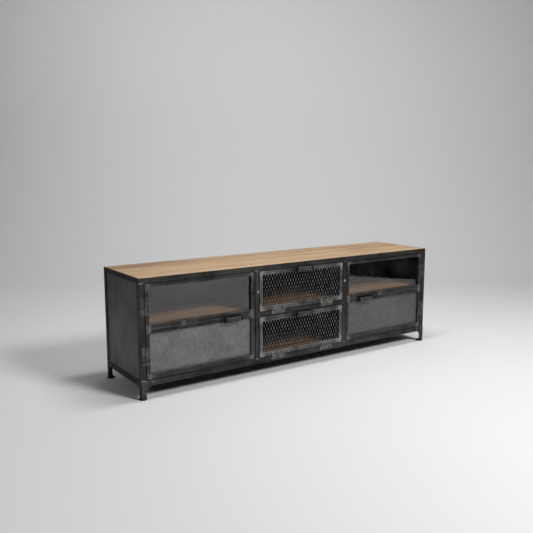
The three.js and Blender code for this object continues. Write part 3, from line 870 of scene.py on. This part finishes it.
RIB_DEPTH, RIBS = 0.012, 36
THREADS, THREAD_PITCH = 8, 1.05


def ribbed(angle):
    return 1 - RIB_DEPTH * (0.5 + 0.5 * math.cos(RIBS * angle))


def glide(end):
    """Adjustable foot: a dished disc with a ribbed rim, on a threaded stem."""
    node = end + "_glide"
    low, high = box_mm(node)
    place = Matrix.Translation(((low.x + high.x) / 2, (low.y + high.y) / 2, 0))
    radius = (high.x - low.x) / 2
    shape = Shape()
    shape.turned([(radius - 4, 0), (radius - 1.6, 0.2), (radius - 0.5, 1), (radius - 0.1, 2.2),
                  (radius - 0.1, 4.2), (radius - 0.6, 5.4), (radius - 2.2, 6.3), (radius - 7, 6.9),
                  (6, 7.0)], place, 144, ribbed)
    shape.colour = 1
    profile = [(4.0, 6.8)]
    for thread in range(THREADS):
        z = 7.2 + thread * THREAD_PITCH
        profile += [(3.5, z), (4.0, z + 0.5)]
    profile.append((3.2, high.z))
    shape.turned(profile, place, 20)
    shape.make(end + "_foot", "cabinet", ["plastic", "screw"], [node])


for end in ("front_left", "front_right", "back_left", "back_right"):
    glide(end)

RIVETS = ((22, 78), (57, 78), (19, 33), (19, 55))  # in from the gusset's outer edge, and height
for side, sign in (("left", -1), ("right", 1)):
    low, high = box_mm(side + "_gusset")
    outer = max(-low.x, high.x)
    shape = Shape()
    for inward, z in RIVETS:
        shape.turned(domed(3.4, 1.8), facing_front(sign * (outer - inward), low.y, z), 22)
    shape.make(side + "_gusset_rivets", "cabinet", ["hardware"])


BEAD_SECTION = ((-1, -0.3), (-0.8, 0.4), (-0.35, 0.9), (0.35, 0.9),
                (0.8, 0.4), (1, -0.3), (0.5, -0.5), (-0.5, -0.5))


def bead(shape, start, end, y, width=4.0, height=0.45):
    """A ground weld bead on the face at depth y, from one (x, z) to another."""
    (x0, z0), (x1, z1) = start, end
    along = Vector((x1 - x0, z1 - z0))
    steps = max(6, int(along.length / 1.6))
    normal = Vector((-along.y, along.x)).normalized()
    rings = []
    for i in range(steps + 1):
        t = i / steps
        swell = 1 + 0.22 * noise.noise(Vector((x0 + t * 31, z0 + t * 17, y)))
        ripple = 0.85 + 0.15 * math.cos(i * math.pi)
        taper = min(1, 0.35 + 4 * min(t, 1 - t))
        w, h = width / 2 * swell * taper, height * ripple * taper
        px, pz = x0 + along.x * t, z0 + along.y * t
        ring = []
        for u, v in BEAD_SECTION:
            ring.append((px + normal.x * w * u, y - h * v, pz + normal.y * w * u))
        rings.append(ring)
    shape.loft(rings)


def frame_welds(node, body, stile, bars):
    """Beads where a frame's rails meet its stiles."""
    low, high = box_mm(node)
    shape = Shape()
    for z_low, z_high in bars:
        for x in (low.x + stile, high.x - stile):
            bead(shape, (x, z_low + 1), (x, z_high - 1), low.y)
    shape.make(node + "_welds", body, ["weld"])


for side in ("left", "right"):
    frame_welds(side + "_door_frame", side + "_door", DOOR_STILE / MM,
                ((90, 115), (300, 344), (511, 529)))
frame_welds("upper_flap_frame", "upper_flap", FLAP_STILE / MM, ((324, 348), (509, 529)))
frame_welds("lower_flap_frame", "lower_flap", FLAP_STILE / MM, ((90, 114), (274, 298)))

shape = Shape()
rail_low, rail_high = box_mm("flap_rail")
rim_top, rim_bottom = box_mm("bottom_rim")[1].z + 0.2, box_mm("top_rim")[0].z - 0.1
for side in ("left", "right"):
    for post in (side + "_centre_post", "front_" + side + "_post"):
        low, high = box_mm(post)
        for z in (rim_top, rim_bottom):
            bead(shape, (low.x + 1, z), (high.x - 1, z), low.y, 3.4, 0.5)
    x = rail_low.x if side == "left" else rail_high.x
    for z in (rail_low.z + 0.5, rail_high.z - 6.5):
        bead(shape, (x, z), (x, z + 6), rail_low.y, 3.2, 0.5)
shape.make("frame_welds", "cabinet", ["weld"])


# ---------------------------------------------------------------- studio

STAGE_TURN = -math.radians(CAMERA_YAW)
PAPER_LEFT, PAPER_RIGHT = -3.6, 2.93
FLOOR_NEAR = -2.6
FLOOR_FAR = 2.2
SWEEP = 1.6  # radius of the curve from floor to wall
WALL_TOP = 6.0
FLOOR_ROWS, SWEEP_ROWS, WALL_ROWS, PAPER_COLUMNS = 48, 16, 16, 56


def studio():
    """Paper that runs along the floor and sweeps up behind."""
    step = (FLOOR_FAR - FLOOR_NEAR) / FLOOR_ROWS
    profile = [(FLOOR_NEAR + i * step, 0) for i in range(FLOOR_ROWS + 1)]
    for i in range(1, SWEEP_ROWS + 1):
        angle = math.pi / 2 * i / SWEEP_ROWS
        profile.append((FLOOR_FAR + SWEEP * math.sin(angle), SWEEP * (1 - math.cos(angle))))
    for i in range(1, WALL_ROWS + 1):
        profile.append((FLOOR_FAR + SWEEP, SWEEP + i * (WALL_TOP - SWEEP) / WALL_ROWS))
    turn = Matrix.Rotation(STAGE_TURN, 3, "Z")
    points, faces = [], []
    for i in range(PAPER_COLUMNS + 1):
        u = PAPER_LEFT + (PAPER_RIGHT - PAPER_LEFT) * i / PAPER_COLUMNS
        for v, z in profile:
            points.append(turn @ Vector((u, v, z)))
    rows = len(profile)
    for i in range(PAPER_COLUMNS):
        for j in range(rows - 1):
            a = i * rows + j
            faces.append((a, a + rows, a + rows + 1, a + 1))
    mesh = bpy.data.meshes.new("studio_paper")
    mesh.from_pydata(points, [], faces)
    for polygon in mesh.polygons:
        polygon.use_smooth = True
    g = Graph("studio_paper")
    colour = g.mix(g.noise(1.5, 4), (0.83, 0.83, 0.83, 1), (0.85, 0.85, 0.85, 1))
    tooth = g.noise(260, 2)
    shader = g.add("BsdfDiffuse", {"Color": colour, "Normal": g.bump(tooth, 0.05, 0.0005)})
    mesh.materials.append(g.finish(shader.outputs[0]))
    paper = bpy.data.objects.new("studio_paper", mesh)
    scene.collection.objects.link(paper)


def softbox(name, place, target, size, power):
    data = bpy.data.lights.new(name, "AREA")
    data.shape = "RECTANGLE"
    data.size, data.size_y = size
    data.energy = power
    lamp = bpy.data.objects.new(name, data)
    scene.collection.objects.link(lamp)
    lamp.location = place
    lamp.rotation_euler = (Vector(target) - Vector(place)).to_track_quat("-Z", "Y").to_euler()


studio()
softbox("key_light", (0.8, -3.75, 3.2), (-0.1, -0.1, 0.2), (1.0, 1.0), 150)
softbox("top_light", (0.1, -0.25, 3.0), (0.1, -0.25, 0), (1.4, 0.3), 26)
softbox("fill_light", (-4.2, -0.6, 2.6), (-0.9, 0.3, 0.2), (1.6, 1.6), 19)
turn = Matrix.Rotation(STAGE_TURN, 3, "Z")
softbox("wall_light", turn @ Vector((-1.1, 1.2, 3.3)), turn @ Vector((-1.1, 3.8, 0.6)), (3.4, 0.8), 29)
softbox("floor_light", turn @ Vector((1.6, -0.2, 4.4)), turn @ Vector((1.6, 0.6, 0.0)), (1.6, 0.8), 21)

AMBIENT = 0.01
world = bpy.data.worlds.new("studio")
scene.world = world
world.use_nodes = True
background = world.node_tree.nodes["Background"]
background.inputs["Color"].default_value = (1, 1, 1, 1)
background.inputs["Strength"].default_value = AMBIENT
